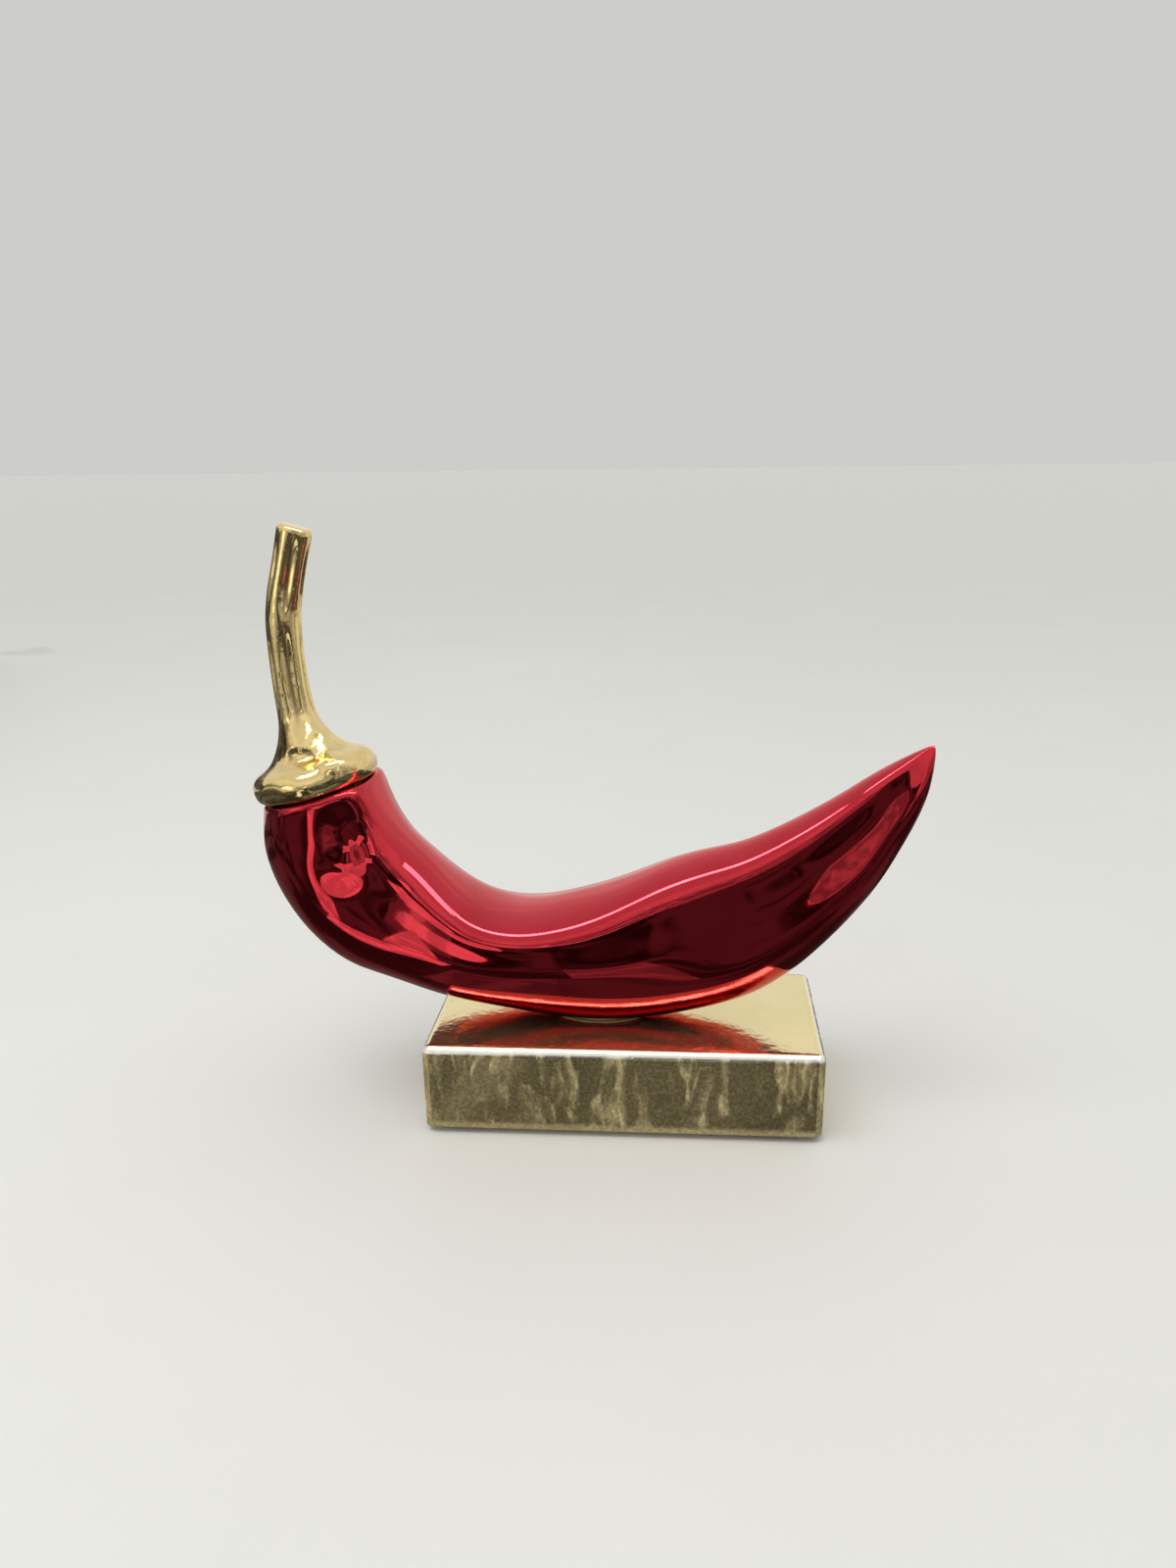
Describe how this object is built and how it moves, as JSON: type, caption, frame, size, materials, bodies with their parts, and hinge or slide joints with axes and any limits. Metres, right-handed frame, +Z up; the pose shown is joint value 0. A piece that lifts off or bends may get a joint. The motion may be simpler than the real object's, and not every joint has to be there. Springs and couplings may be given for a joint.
{
  "type": "chilli pepper figurine",
  "caption": "Mirror-plated red chilli with a gold calyx and stalk, bonded on a gold-plated block as a table ornament.",
  "frame": {"origin": "on the table, under the middle of the ornament's bounding box", "axes": "+X from the stalk end to the tail, +Y from the front to the back, +Z up"},
  "size_m": [0.2048, 0.064, 0.18],
  "materials": {
    "red_plating": "polished",
    "gold_plating": "polished",
    "epoxy": "gloss",
    "felt": "matte"
  },
  "bodies": {
    "root": {"plinth": "gold_plating", "chilli_body": "red_plating", "calyx_and_stalk": "gold_plating", "glue_bed": "epoxy", "felt_pad_front_left": "felt", "felt_pad_front_right": "felt", "felt_pad_back_left": "felt", "felt_pad_back_right": "felt"}
  },
  "joints": []
}
